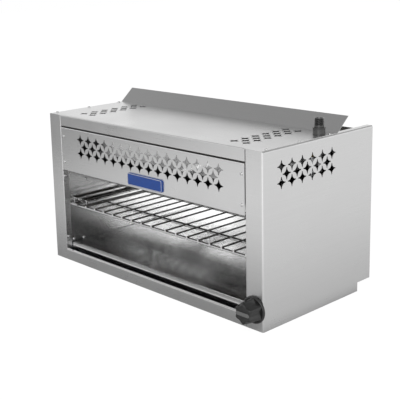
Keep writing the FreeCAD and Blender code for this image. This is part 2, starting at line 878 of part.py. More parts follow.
def base_and_rail():
    pan = fuse(box(("-skin_inner", "skin_inner"), ("jamb_back", "rear_face"), ("0", "sheet")),
               box(("-rail_half", "rail_half"), ("skin_back", "jamb_back + cut_over"), ("0", "sheet")))
    leg_holes = group([cylinder("leg_hole_radius", "2 * cut_over", x, y, "-cut_over")
                       for x in ("leg_x", "-leg_x") for y in ("leg_front", "leg_rear")])
    piece("base_pan", cut(pan, leg_holes))
    outer = rounded(box(("-rail_half", "rail_half"), ("front", "front + bottom_rail_flange"),
                        ("0", "bottom_rail_height")),
                    "small_bend", {"y": "front", "z": "bottom_rail_height"})
    inner = rounded(box(("-rail_half - cut_over", "rail_half + cut_over"),
                        ("skin_back", "front + bottom_rail_flange + cut_over"),
                        ("-cut_over", "bottom_rail_height - sheet")),
                    "small_inside", {"y": "skin_back", "z": "bottom_rail_height - sheet"})
    piece("bottom_rail", cut(outer, inner))


# Burner front panel

def front_panel():
    outer = rounded(box(("-panel_half", "panel_half"), ("front", "skin_back + panel_return"),
                        ("panel_bottom", "panel_top")),
                    "small_bend", {"y": "front", "z": "panel_top"}, {"y": "front", "z": "panel_bottom"})
    inner = rounded(box(("-panel_half - cut_over", "panel_half + cut_over"),
                        ("skin_back", "skin_back + panel_return + cut_over"),
                        ("panel_bottom + sheet", "panel_top - sheet")),
                    "small_inside", {"y": "skin_back", "z": "panel_top - sheet"},
                    {"y": "skin_back", "z": "panel_bottom + sheet"})
    baffle = box(("-baffle_half", "baffle_half"), ("baffle_back - sheet", "baffle_back"),
                 ("panel_bottom", "panel_bottom + baffle_rise"))
    piece("burner_front_panel", fuse(cut(outer, inner, front_stars(), holes(panel_seats())), baffle))

    sides = ("badge_shift - badge_half", "badge_shift + badge_half")
    levels = ("badge_low", "badge_low + badge_height")
    corners = [{"x": x, "z": z} for x in sides for z in levels]
    piece("badge_plate", rounded(box(sides, ("front - badge_gauge", "front"), levels),
                                 "badge_corner", *corners))

    levels = ("bracket_low", "bracket_low + bracket_length")
    against_panel = box(("post_inner - bracket_reach", "post_inner"), ("skin_back", "skin_back + sheet"),
                        levels)
    against_jamb = box(("post_inner - sheet", "post_inner"), ("skin_back", "front + bracket_depth"), levels)
    pair("panel_bracket", cut(fuse(against_panel, against_jamb), holes(panel_seats())))


# Inner sheets

def liners():
    wall = box(("liner_face", "liner_back"), ("liner_front", "rear_inner"), ("sheet", "liner_height"))
    plain = cut(wall, holes(jamb_seats()), holes(rail_seats()), holes(liner_seats()))
    port = cylinder("liner_port_radius", "2 * cut_over", "liner_face - cut_over",
                    "venturi_centre_y", "venturi_z", ALONG_X)
    pilot_hole = cylinder("pilot_tube_radius + pilot_hole_gap", "2 * cut_over", "liner_face - cut_over",
                          "pilot_end_y", "pilot_level", ALONG_X)
    piece("liner_right", cut(plain, port, pilot_hole))
    piece("liner_left", mirrored(plain))

    spacers = []
    for number in range(SPACERS_PER_SIDE):
        start = "spacer_start + %d * spacer_pitch" % number
        end = start + " + spacer_depth"
        outside = box(("liner_back", "skin_inner"), (start, end),
                      ("spacer_level", "spacer_level + spacer_height"))
        inside = box(("liner_back + sheet", "skin_inner - sheet"),
                     (start + " - cut_over", end + " - sheet"),
                     ("spacer_level - cut_over", "spacer_level + spacer_height + cut_over"))
        right = cut(outside, inside, holes(liner_seats()))
        spacers += [right, mirrored(right)]
    piece("side_spacers", group(spacers))


def shield():
    piece("heat_shield", box(("-liner_back", "liner_back"), ("shield_start", "shield_end"),
                             ("liner_height", "shield_top")))
    wall = box(("-liner_back", "liner_back"), ("shield_end - sheet", "shield_end"),
               ("shield_top", "top_under"))
    foot = box(("-liner_back", "liner_back"), ("shield_end - baffle_foot", "shield_end"),
               ("shield_top", "shield_top + sheet"))
    piece("flue_baffle", fuse(wall, foot))


def rack_rails():
    outside = box(("rail_tip", "liner_face"), ("rail_start", "rail_end"),
                  ("rail_level", "rail_level + rail_height"))
    inside = box(("rail_tip - cut_over", "liner_face - sheet"),
                 ("rail_start - cut_over", "rail_end + cut_over"),
                 ("rail_floor", "rail_level + rail_height - sheet"))
    pair("rack_rail", cut(outside, inside, holes(rail_seats())))


def tray_guides():
    """A hat section: two feet on the base pan, two walls and the flat that the tray slides on."""
    outer = "guide_x + guide_width"
    points = [("guide_x - guide_foot", "sheet"), ("guide_x + sheet", "sheet"),
              ("guide_x + sheet", "guide_top - sheet"), (outer + " - sheet", "guide_top - sheet"),
              (outer + " - sheet", "sheet"), (outer + " + guide_foot", "sheet"),
              (outer + " + guide_foot", "sheet + sheet"), (outer, "sheet + sheet"), (outer, "guide_top"),
              ("guide_x", "guide_top"), ("guide_x", "sheet + sheet"),
              ("guide_x - guide_foot", "sheet + sheet")]
    pair("tray_guide", folded("XZ_Plane", points, "guide_length", "0", "guide_end", "0"))


# Burner and its hangers

def burner():
    outside = box(("-burner_half", "burner_half"), ("burner_start", "burner_end"),
                  ("frame_top", "plenum_top"))
    inside = box(("plenum_gauge - burner_half", "burner_half - plenum_gauge"),
                 ("burner_start + plenum_gauge", "burner_end - plenum_gauge"),
                 ("frame_top - cut_over", "plenum_top - plenum_gauge"))
    port = cylinder("venturi_radius", "2 * cut_over", "burner_half - cut_over", "venturi_centre_y",
                    "venturi_z", ALONG_X)
    piece("burner_plenum", cut(outside, inside, port))

    rim = box(("-burner_half", "burner_half"), ("burner_start", "burner_end"), ("frame_level", "frame_top"))
    window = box(("-window_half", "window_half"), ("window_start", "window_end"),
                 ("tile_level", "frame_top + cut_over"))
    ledge = box(("frame_ledge - window_half", "window_half - frame_ledge"),
                ("window_start + frame_ledge", "window_end - frame_ledge"),
                ("frame_level - cut_over", "tile_level + cut_over"))
    piece("tile_frame", cut(rim, window, ledge))
    piece("burner_tiles", computed(Part.Compound(tiles())))
    piece("burner_screen", computed(screen()))

    flat = box(("liner_face - hanger_reach", "liner_face"), ("burner_start", "burner_end"),
               ("frame_level - sheet", "frame_level"))
    upright = box(("liner_face - sheet", "liner_face"), ("burner_start", "burner_end"),
                  ("frame_level - sheet", "frame_level + hanger_leg"))
    pair("burner_hanger", fuse(flat, upright))


def tiles():
    """Ceramic tiles in two rows, with a chamfer round the glowing face."""
    gap = size("tile_gap")
    thick = size("tile_thick")
    wide = (2 * size("window_half") - (TILE_COLUMNS + 1) * gap) / TILE_COLUMNS
    deep = (total("window_end - window_start") - (TILE_ROWS + 1) * gap) / TILE_ROWS
    tile = Part.makeBox(wide, deep, thick)
    lower = [edge for edge in tile.Edges
             if all(vertex.Z < thick / 2 for vertex in edge.Vertexes)]
    tile = tile.makeChamfer(size("tile_chamfer"), lower)
    copies = []
    for column in range(TILE_COLUMNS):
        for row in range(TILE_ROWS):
            copy = tile.copy()
            copy.translate(Vector(gap - size("window_half") + column * (wide + gap),
                                  size("window_start") + gap + row * (deep + gap),
                                  size("tile_level")))
            copies.append(copy)
    return copies


def screen():
    """A flat guard below the tiles, with one window per cell."""
    half = size("window_half")
    start = size("window_start")
    depth = total("window_end - window_start")
    gauge = size("screen_gauge")
    level = size("screen_level")
    bar = size("screen_bar")
    border = size("screen_border")
    sheet_in = Part.makeBox(2 * half, depth, gauge, Vector(-half, start, level))
    cell_x = (2 * (half - border) + bar) / SCREEN_COLUMNS
    cell_y = (depth - 2 * border + bar) / SCREEN_ROWS
    windows = [Part.makeBox(cell_x - bar, cell_y - bar, 3 * gauge,
                            Vector(border - half + column * cell_x, start + border + row * cell_y,
                                   level - gauge))
               for column in range(SCREEN_COLUMNS) for row in range(SCREEN_ROWS)]
    return sheet_in.cut(Part.Compound(windows))


# Venturi, orifice and gas train

def air_inlet():
    tube = cylinder("venturi_radius", "venturi_mouth - venturi_tail", "venturi_tail",
                    "venturi_centre_y", "venturi_z", ALONG_X)
    mouth = cylinder("mouth_radius", "mouth_depth", "venturi_mouth - mouth_depth",
                     "venturi_centre_y", "venturi_z", ALONG_X)
    bore = cylinder("venturi_radius - venturi_wall", "venturi_mouth - venturi_tail + 2 * cut_over",
                    "venturi_tail - cut_over", "venturi_centre_y", "venturi_z", ALONG_X)
    piece("venturi", cut(fuse(tube, mouth), bore))

    disc = cylinder("mouth_radius", "shutter_gauge", "venturi_mouth", "venturi_centre_y", "venturi_z",
                    ALONG_X)
    spud_hole = cylinder("spud_radius + fit_gap", "2 * cut_over", "venturi_mouth - cut_over",
                         "venturi_centre_y", "venturi_z", ALONG_X)
    ports = []
    for number in range(SHUTTER_HOLES):
        angle = number * FULL_TURN // SHUTTER_HOLES
        ports.append(cylinder("shutter_hole_radius", "2 * cut_over", "venturi_mouth - cut_over",
                              "venturi_centre_y + shutter_ring * cos(%d deg)" % angle,
                              "venturi_z + shutter_ring * sin(%d deg)" % angle, ALONG_X))
    piece("air_shutter", cut(disc, spud_hole, group(ports)))

    spud = cylinder("spud_radius", "spud_length + 2 * shutter_gauge",
                    "orifice_x - spud_length - 2 * shutter_gauge", "venturi_centre_y", "venturi_z", ALONG_X)
    orifice = cylinder("orifice_radius", "spud_length + 2 * cut_over",
                       "orifice_x - spud_length - cut_over", "venturi_centre_y", "venturi_z", ALONG_X)
    piece("orifice_spud", cut(spud, orifice))
    piece("orifice_elbow", box(("orifice_x", "orifice_x + elbow_size"),
                               ("venturi_centre_y - elbow_size / 2", "venturi_centre_y + elbow_size / 2"),
                               ("elbow_low", "elbow_low + elbow_size")))


def gas_valve():
    body = cylinder("valve_radius", "valve_rear - valve_bonnet", "knob_x", "valve_start", "knob_level",
                    ALONG_Y)
    bonnet = cylinder("bonnet_radius", "valve_start - skin_back", "knob_x", "skin_back", "knob_level",
                      ALONG_Y)
    outlet = cylinder("outlet_radius", "outlet_rise", "knob_x", "outlet_centre_y", "knob_level")
    bore = cylinder("stem_bore", "stem_in_valve + slide_gap", "knob_x", "front", "knob_level", ALONG_Y)
    piece("gas_valve", cut(fuse(body, bonnet, outlet), bore))


def upright_pipe(radius, low, high):
    """A round on the axis of the gas inlet."""
    return cylinder(radius, "%s - %s" % (high, low), "knob_x", "inlet_centre_y", low)


def supply_line():
    """From the inlet on the top, down the right duct, forward to the valve and up to the orifice."""
    collar = upright_pipe("collar_radius", "body_height", "collar_top")
    piece("inlet_collar", cut(collar, upright_pipe("thread_radius", "flange_under", "inlet_top"),
                              upright_pipe("inlet_thread_radius", "collar_middle", "inlet_top")))
    nipple = fuse(upright_pipe("inlet_radius", "collar_top", "inlet_top"),
                  upright_pipe("inlet_thread_radius", "collar_middle", "inlet_top"))
    piece("inlet_nipple", cut(nipple, upright_pipe("inlet_bore", "body_height", "inlet_top + cut_over")))
    piece("inlet_pipe", fuse(upright_pipe("nipple_radius", "fitting_top", "body_height"),
                             upright_pipe("thread_radius", "fitting_top", "collar_middle")))

    upright = cylinder("fitting_radius", "fitting_reach", "knob_x", "inlet_centre_y", "knob_level")
    level = cylinder("fitting_radius", "fitting_reach", "knob_x", "inlet_centre_y", "knob_level",
                     ALONG_MINUS_Y)
    knuckle = doc.addObject("Part::Sphere", "Knuckle")
    knuckle.setExpression("Radius", bound("fitting_radius"))
    put(knuckle, "knob_x", "inlet_centre_y", "knob_level")
    piece("manifold_elbow", fuse(upright, level, knuckle))
    piece("manifold_pipe", cylinder("nipple_radius", "fitting_front - valve_end", "knob_x", "valve_end",
                                    "knob_level", ALONG_Y))

    route = [point("knob_x", "outlet_centre_y", "outlet_top"),
             point("knob_x", "outlet_centre_y", "supply_turn_level"),
             point("supply_x", "venturi_centre_y", "supply_turn_level"),
             point("supply_x", "venturi_centre_y", "elbow_low")]
    piece("supply_tube", computed(bent_rod(route, size("supply_radius"), size("supply_bend"))))


def pipe_clamp():
    levels = ("clamp_level", "clamp_level + clamp_height")
    ring = cylinder("nipple_radius + clamp_wall", "clamp_height", "knob_x", "inlet_centre_y", "clamp_level")
    tab = box(("knob_x + nipple_radius", "skin_inner"),
              ("inlet_centre_y - clamp_wall", "inlet_centre_y + clamp_wall"), levels)
    foot = box(("skin_inner - clamp_wall", "skin_inner"),
               ("inlet_centre_y - clamp_foot", "inlet_centre_y + clamp_foot"), levels)
    pipe_way = cylinder("nipple_radius", "clamp_height + 2 * cut_over", "knob_x", "inlet_centre_y",
                        "clamp_level - cut_over")
    piece("pipe_clamp", cut(fuse(ring, tab, foot), pipe_way))


def pilot():
    block = box(("pilot_x - pilot_block / 2", "pilot_x + pilot_block / 2"),
                ("pilot_centre_y - pilot_block / 2", "pilot_centre_y + pilot_block / 2"),
                ("knob_level", "pilot_block_top"))
    saddle = cylinder("nipple_radius", "pilot_block + 2 * cut_over", "knob_x",
                      "pilot_centre_y - pilot_block / 2 - cut_over", "knob_level", ALONG_Y)
    piece("pilot_valve", cut(block, saddle))
    route = [point("pilot_x", "pilot_centre_y", "pilot_block_top"),
             point("pilot_x", "pilot_centre_y", "pilot_level"),
             point("pilot_x", "pilot_end_y", "pilot_level"),
             point("pilot_end_x + pilot_head_length", "pilot_end_y", "pilot_level")]
    piece("pilot_tube", computed(bent_rod(route, size("pilot_tube_radius"), size("pilot_bend"))))
    piece("pilot_burner", cylinder("pilot_head_radius", "pilot_head_length", "pilot_end_x", "pilot_end_y",
                                   "pilot_level", ALONG_X))


# Control knob

def knob():
    piece("valve_stem", cylinder("stem_radius", "stem_end - stem_tip", "knob_x", "stem_tip", "knob_level",
                                 ALONG_Y))
    disc = cylinder("skirt_radius", "skirt_thick - skirt_chamfer", "knob_x", "knob_back", "knob_level",
                    ALONG_MINUS_Y)
    edge = cone("skirt_radius", "skirt_radius - skirt_chamfer", "skirt_chamfer", "knob_x",
                "skirt_front + skirt_chamfer", "knob_level", ALONG_MINUS_Y)
    way = cylinder("stem_bore", "skirt_thick + 2 * cut_over", "knob_x", "knob_back + cut_over",
                   "knob_level", ALONG_MINUS_Y)
    piece("knob_skirt", cut(fuse(disc, edge), way))

    grip = cone("grip_radius", "grip_front_radius", "skirt_front - grip_front", "knob_x", "skirt_front",
                "knob_level", ALONG_MINUS_Y)
    bore = cylinder("stem_bore", "stem_in_knob - skirt_thick", "knob_x", "skirt_front", "knob_level",
                    ALONG_MINUS_Y)
    piece("knob_grip", cut(grip, flutes(), bore))
    piece("knob_pointer", box(("knob_x - pointer_length / 2", "knob_x + pointer_length / 2"),
                              ("knob_front", "grip_front"),
                              ("knob_level - pointer_width / 2", "knob_level + pointer_width / 2")))


def flutes():
    """Finger grooves that follow the taper of the grip."""
    base = point("knob_x", "skirt_front", "knob_level")
    reach = total("grip_radius + flute_radius - flute_depth")
    fall = total("grip_radius - grip_front_radius")
    cutters = []
    for number in range(KNOB_FLUTES):
        angle = 2 * pi * (number + 1 / 2) / KNOB_FLUTES
        outward = Vector(cos(angle), 0, sin(angle))
        run = Y_AXIS * total("grip_front - skirt_front") - outward * fall
        start = base + outward * reach - run / 2
        cutters.append(straight_rod(start, start + run * 2, size("flute_radius")))
    return computed(Part.Compound(cutters))


# Wire rack and crumb tray

def rack():
    rod = size("rod_radius")
    half = size("riser_x")
    level = size("rod_z")
    end = size("rack_end")
    front = size("front_rod_y")
    frame = bent_rod([Vector(-half, front, level), Vector(-half, end, level), Vector(half, end, level),
                      Vector(half, front, level)], rod, size("ring_bend"))
    parts = [rack_wire(side * (size("middle_gap") / 2 + number * size("wire_pitch")))
             for side in SIDES for number in range(WIRES_PER_SIDE)]
    parts.append(rack_rod(size("front_rod_half"), front))
    for number in range(CROSS_RODS):
        parts.append(rack_rod(size("cross_rod_half"),
                              size("cross_rod_start") + number * size("cross_rod_pitch")))
    piece("wire_rack", computed(frame.multiFuse(parts)))

    foot = size("riser_low")
    runner_level = size("runner_z")
    outer = size("runner_x")
    first = size("riser_start")
    last = size("riser_end")
    runner = bent_rod([Vector(half, first, foot), Vector(half, first, runner_level),
                       Vector(outer, first, runner_level), Vector(outer, last, runner_level),
                       Vector(half, last, runner_level), Vector(half, last, foot)],
                      rod, size("runner_bend"))
    pair("rack_runner", computed(runner))


def rack_wire(x):
    """A straight wire from front to back, cut off square in front of the front rod."""
    level = size("rack_level")
    return straight_rod(Vector(x, size("rack_start"), level), Vector(x, size("rack_end"), level),
                        size("wire_radius"))


def rack_rod(half, y):
    """A thicker rod across, under the wires."""
    level = size("cross_rod_z")
    return straight_rod(Vector(-half, y, level), Vector(half, y, level), size("cross_rod_radius"))


def crumb_tray():
    inner = "tray_start + sheet"
    points = [("tray_start", "tray_lip_low"), ("tray_start", "tray_rim_level"), (inner, "tray_rim_level"),
              ("tray_crease", "tray_floor"), ("tray_end - sheet", "tray_floor"),
              ("tray_end - sheet", "tray_rim_level"), ("tray_end", "tray_rim_level"),
              ("tray_end", "tray_bottom"), ("tray_crease - sheet", "tray_bottom"),
              (inner, "tray_rim_level - sheet - sheet"), (inner, "tray_lip_low")]
    sheet_in = folded("YZ_Plane", points, "tray_right - tray_left", "tray_left", "0", "0")
    walls = [box(span, (inner, "tray_end"), ("tray_bottom", "tray_rim_level"))
             for span in (("tray_right - sheet", "tray_right"), ("tray_left", "tray_left + sheet"))]
    roll = cylinder("tray_lip_radius", "tray_right - tray_left", "tray_left",
                    "tray_start + tray_lip_radius", "tray_lip_low + tray_lip_radius", ALONG_X)
    piece("crumb_tray", fuse(sheet_in, *walls, roll))


def build():
    side_panels()
    top_panel()
    flue_deflector()
    rear_wall()
    base_and_rail()
    front_panel()
    liners()
    shield()
    rack_rails()
    tray_guides()
    burner()
    air_inlet()
    gas_valve()
    supply_line()
    pipe_clamp()
    pilot()
    knob()
    rack()
    crumb_tray()
    fasteners()


def check():
    """Stop before anything is written if a feature failed."""
    doc.recompute()
    for obj in doc.Objects:
        if "Invalid" in obj.State or "Error" in obj.State:
            raise RuntimeError("%s (%s) failed: %s" % (obj.Name, obj.Label, obj.State))
    for obj in pieces:
        if obj.Shape.isNull() or not obj.Shape.isValid():
            raise RuntimeError("%s has no valid shape" % obj.Label)


def write():
    os.makedirs("parts", exist_ok=True)
    for obj in pieces:
        obj.Shape.exportStep("parts/%s.step" % obj.Label)
        print("%-22s solids %3d  volume %12.1f" % (obj.Label, len(obj.Shape.Solids), obj.Shape.Volume))


build()
check()
write()
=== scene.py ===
import json
from math import atan2, cos, pi, radians, sin

import bmesh
import bpy
from mathutils import Matrix, Vector


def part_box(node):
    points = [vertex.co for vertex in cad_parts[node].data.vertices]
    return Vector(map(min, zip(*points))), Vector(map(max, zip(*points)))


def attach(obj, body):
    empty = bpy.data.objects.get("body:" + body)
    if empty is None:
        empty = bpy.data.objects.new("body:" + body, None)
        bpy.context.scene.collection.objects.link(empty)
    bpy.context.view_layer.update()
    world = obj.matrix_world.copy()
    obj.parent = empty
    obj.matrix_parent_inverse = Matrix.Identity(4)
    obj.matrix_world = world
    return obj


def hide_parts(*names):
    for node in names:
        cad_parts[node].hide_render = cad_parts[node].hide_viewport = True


# A countertop gas cheese melter: folded brushed sheet, a wire rack under a gas burner,
# a crumb tray and one black knob. Metres, in the frame of the solids.

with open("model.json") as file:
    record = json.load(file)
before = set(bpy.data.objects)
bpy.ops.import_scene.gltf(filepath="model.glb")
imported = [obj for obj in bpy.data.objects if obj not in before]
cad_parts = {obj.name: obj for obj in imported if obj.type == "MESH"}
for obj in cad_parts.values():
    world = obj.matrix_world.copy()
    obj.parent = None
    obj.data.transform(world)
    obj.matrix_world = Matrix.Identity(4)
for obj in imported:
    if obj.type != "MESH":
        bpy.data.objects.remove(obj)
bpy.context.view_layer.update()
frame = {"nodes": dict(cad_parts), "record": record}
nodes = frame["nodes"]


# Node trees

# Most of a noise's values lie between these two
NOISE_LOW = 0.3
NOISE_HIGH = 0.7


class Tree:
    """A small helper for one node tree: add() makes a node and links or sets its inputs."""

    def __init__(self, tree):
        self.tree = tree
        tree.nodes.clear()

    def add(self, kind, inputs=None, **settings):
        node = self.tree.nodes.new(kind)
        for name, value in settings.items():
            setattr(node, name, value)
        for name, value in (inputs or {}).items():
            socket = node.inputs[name]
            if isinstance(value, bpy.types.NodeSocket):
                self.tree.links.new(value, socket)
            else:
                socket.default_value = value
        return node

    def place(self):
        """The object's own coordinates."""
        return self.add("ShaderNodeTexCoord").outputs["Object"]

    def normal(self):
        return self.add("ShaderNodeNewGeometry").outputs["True Normal"]

    def split(self, vector):
        """The outputs X, Y and Z of a vector."""
        return self.add("ShaderNodeSeparateXYZ", {0: vector}).outputs

    def math(self, operation, first, second=0.0):
        return self.add("ShaderNodeMath", {0: first, 1: second}, operation=operation).outputs[0]

    def product(self, *values):
        result = values[0]
        for value in values[1:]:
            result = self.math("MULTIPLY", result, value)
        return result

    def between(self, value, low, high):
        """1 between two limits and 0 elsewhere."""
        return self.product(self.math("GREATER_THAN", value, low),
                            self.math("LESS_THAN", value, high))

    def remap(self, value, low, high, start, end):
        """Low up to start, high from end on, and even in between."""
        node = self.add("ShaderNodeMapRange", {"Value": value, "From Min": start, "From Max": end,
                                               "To Min": low, "To Max": high})
        return node.outputs[0]

    def rising(self, value, start, end):
        return self.remap(value, 0, 1, start, end)

    def falling(self, value, start, end):
        return self.remap(value, 1, 0, start, end)

    def stretch(self, noise, low=0.0, high=1.0):
        """A noise spread from low to high."""
        return self.remap(noise, low, high, NOISE_LOW, NOISE_HIGH)

    def scaled(self, vector, scale):
        return self.add("ShaderNodeMapping", {"Vector": vector, "Scale": scale}).outputs[0]

    def noise(self, vector, scale, detail=2.0, roughness=0.5):
        node = self.add("ShaderNodeTexNoise", {"Vector": vector, "Scale": scale, "Detail": detail,
                                               "Roughness": roughness})
        return node.outputs["Fac"]

    def blend(self, factor, first, second):
        """A mix of two numbers, the node's inputs 2 and 3."""
        node = self.add("ShaderNodeMix", {0: factor, 2: first, 3: second}, data_type="FLOAT")
        return node.outputs[0]

    def shade(self, factor, first, second):
        """A mix of two colours, the node's inputs 6 and 7."""
        node = self.add("ShaderNodeMix", {0: factor, 6: first, 7: second}, data_type="RGBA")
        return node.outputs[2]

    def mottled(self, noise, color, spread):
        """A colour that a noise makes darker and lighter."""
        return self.shade(self.stretch(noise), times(color, 1 - spread), times(color, 1 + spread))

    def bump(self, height, strength, distance, under=None):
        inputs = {"Height": height, "Strength": strength, "Distance": distance}
        if under is not None:
            inputs["Normal"] = under
        return self.add("ShaderNodeBump", inputs).outputs[0]


def grey(value):
    return (value, value, value, 1.0)


def times(color, factor):
    """A colour made darker or lighter."""
    return tuple(min(part * factor, 1.0) for part in color[:3]) + (1.0,)


def new_material(name):
    material = bpy.data.materials.new(name)
    material.use_nodes = True
    return material, Tree(material.node_tree)


def surface(tree, sockets):
    """The principled shader and the output. Names follow the shader's own sockets."""
    shader = tree.add("ShaderNodeBsdfPrincipled", sockets)
    tree.add("ShaderNodeOutputMaterial", {"Surface": shader.outputs[0]})


# Brushed sheet. A face counts as lying where its normal points up or down by more than LYING.

LYING = 0.8
FINE_SHARE = 0.6
BAND_SHARE = 0.4
STAIN_SHADE = 0.55
# The painted shade's tone, as a share of the sheet's colour.
PAINTED_SHADE_TONE = 0.06


def brushed_steel(name, color, roughness, streak=0.025, stain=0.03, wave=0.0012, painted_shade=None):
    """Sheet with level grain: fine streaks, wider bands, faint smudges and a slight waviness. Where a
    mask is given, a painted shade darkens the sheet nearly to black.
    """
    material, tree = new_material(name)
    place = tree.place()
    up = tree.math("ABSOLUTE", tree.split(tree.normal())["Z"])
    lying = tree.math("GREATER_THAN", up, LYING)

    def grain(across, along):
        upright = tree.noise(tree.scaled(place, (along, along, across)), scale=1.0)
        level = tree.noise(tree.scaled(place, (along, across, along)), scale=1.0)
        return tree.blend(lying, upright, level)

    fine = grain(across=1900.0, along=9.0)
    bands = grain(across=420.0, along=3.0)
    smudge = tree.noise(place, scale=7.0, detail=5.0, roughness=0.6)
    mixed = tree.math("ADD", tree.product(fine, FINE_SHARE), tree.product(bands, BAND_SHARE))
    stained = tree.remap(smudge, low=0, high=stain, start=0.35, end=0.75)
    tone = tree.shade(stained, tree.mottled(mixed, color, streak), times(color, STAIN_SHADE))
    # Painted shade: where the mask is given, the tone falls nearly to black in place of real shade.
    if painted_shade:
        tone = tree.shade(painted_shade(tree, place), tone, times(color, PAINTED_SHADE_TONE))
    rough = tree.math("ADD", tree.stretch(fine, low=roughness - 0.03, high=roughness + 0.03),
                      tree.stretch(smudge, low=-0.02, high=0.03))
    swell = tree.bump(tree.noise(place, scale=3.2, detail=1.0), strength=1.0, distance=wave)
    scratch = tree.bump(fine, strength=0.12, distance=0.00008, under=swell)
    surface(tree, {"Base Color": tone, "Metallic": 1.0, "Roughness": rough, "Normal": scratch})
    return material


def shade_beside_burner(tree, place):
    """Painted shade, near black, on the upper front of the side liners, where the burner casts its
    shade.
    """
    liner_x = 0.39
    at = tree.split(place)
    wall = tree.math("GREATER_THAN", tree.math("ABSOLUTE", at["X"]), liner_x)
    high = tree.rising(at["Z"], start=0.31, end=0.34)
    near = tree.falling(at["Y"], start=-0.08, end=-0.02)
    return tree.product(wall, high, near)


def shade_behind_stars(tree, place):
    """Painted shade, near black, on the upturned baffle inside the front panel, which lies in shade
    behind the star vents.
    """
    half = 0.3725
    front = 0.002
    back = 0.0005
    foot = 0.0014
    rise = 0.08
    low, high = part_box("burner_front_panel")
    at = tree.split(place)
    across = tree.math("LESS_THAN", tree.math("ABSOLUTE", at["X"]), half)
    deep = tree.between(at["Y"], high.y - front, high.y + back)
    tall = tree.between(at["Z"], low.z + foot, low.z + rise)
    return tree.product(across, deep, tall)


# Other materials

def plain_metal(name, color, roughness, spread=0.12, depth=0.00015):
    """Turned, drawn or cast metal: mottled tone, uneven gloss and a fine tooth."""
    material, tree = new_material(name)
    place = tree.place()
    coarse = tree.noise(place, scale=32.0, detail=4.0, roughness=0.6)
    fine = tree.noise(place, scale=960.0, detail=3.0)
    rough = tree.stretch(coarse, low=roughness - 0.06, high=roughness + 0.08)
    surface(tree, {"Base Color": tree.mottled(coarse, color, spread), "Metallic": 1.0,
                   "Roughness": rough, "Normal": tree.bump(fine, strength=0.25, distance=depth)})
    return material


def wire_chrome(name, color, roughness):
    """Drawn, plated wire. Faces that point straight to the front, the cut ends among them, are
    painted near white, matt and not metal: a painted highlight.
    """
    front_facing = -0.97
    highlight_color = grey(0.9)
    highlight_roughness = 0.5
    drawn_grain = (1500.0, 12.0, 1500.0)
    material, tree = new_material(name)
    place = tree.place()
    # Painted highlight on every face that points straight to the front.
    front_highlight = tree.math("LESS_THAN", tree.split(tree.normal())["Y"], front_facing)
    cloud = tree.noise(place, scale=34.0, detail=3.0, roughness=0.6)
    drawn = tree.noise(tree.scaled(place, drawn_grain), scale=1.0)
    tone = tree.shade(front_highlight, tree.mottled(cloud, color, spread=0.12), highlight_color)
    rough = tree.math("ADD", tree.stretch(cloud, low=roughness - 0.04, high=roughness + 0.05),
                      tree.product(front_highlight, highlight_roughness))
    surface(tree, {"Base Color": tone, "Metallic": tree.math("SUBTRACT", 1.0, front_highlight),
                   "Roughness": rough,
                   "Normal": tree.bump(drawn, strength=0.15, distance=0.00004)})
    return material


def painted(name, color, roughness, coat=0.0):
    """Plastic or enamel."""
    material, tree = new_material(name)
    place = tree.place()
    cloud = tree.noise(place, scale=60.0, detail=4.0, roughness=0.6)
    tooth = tree.noise(place, scale=900.0, detail=3.0)
    rough = tree.stretch(cloud, low=roughness - 0.05, high=roughness + 0.07)
    surface(tree, {"Base Color": tree.mottled(cloud, color, spread=0.1), "Roughness": rough,
                   "Coat Weight": coat, "Coat Roughness": 0.12,
                   "Normal": tree.bump(tooth, strength=0.3, distance=0.0001)})
    return material


def tile_ceramic(name, color):
    """A burner tile: rows of small ports, painted near black as the shade inside them, in a pale,
    heat-toned face.
    """
    pitch = 0.0034
    half_cell = 0.5
    port_shade = grey(0.02)
    toned = times(color, 0.72)
    material, tree = new_material(name)
    place = tree.place()
    at = tree.split(place)
    squares = []
    for axis in "XY":
        cell = tree.math("DIVIDE", at[axis], pitch)
        offset = tree.math("SUBTRACT", tree.math("FRACT", cell), half_cell)
        squares.append(tree.product(offset, offset))
    far = tree.math("SQRT", tree.math("ADD", *squares))
    rim = tree.rising(far, start=0.2, end=0.27)
    cloud = tree.noise(place, scale=25.0, detail=5.0, roughness=0.6)
    # The ports are painted near black, a painted shade inside them.
    tone = tree.shade(rim, port_shade, tree.shade(tree.stretch(cloud), toned, color))
    surface(tree, {"Base Color": tone, "Roughness": 0.85,
                   "Normal": tree.bump(rim, strength=0.6, distance=0.0006)})
    return material


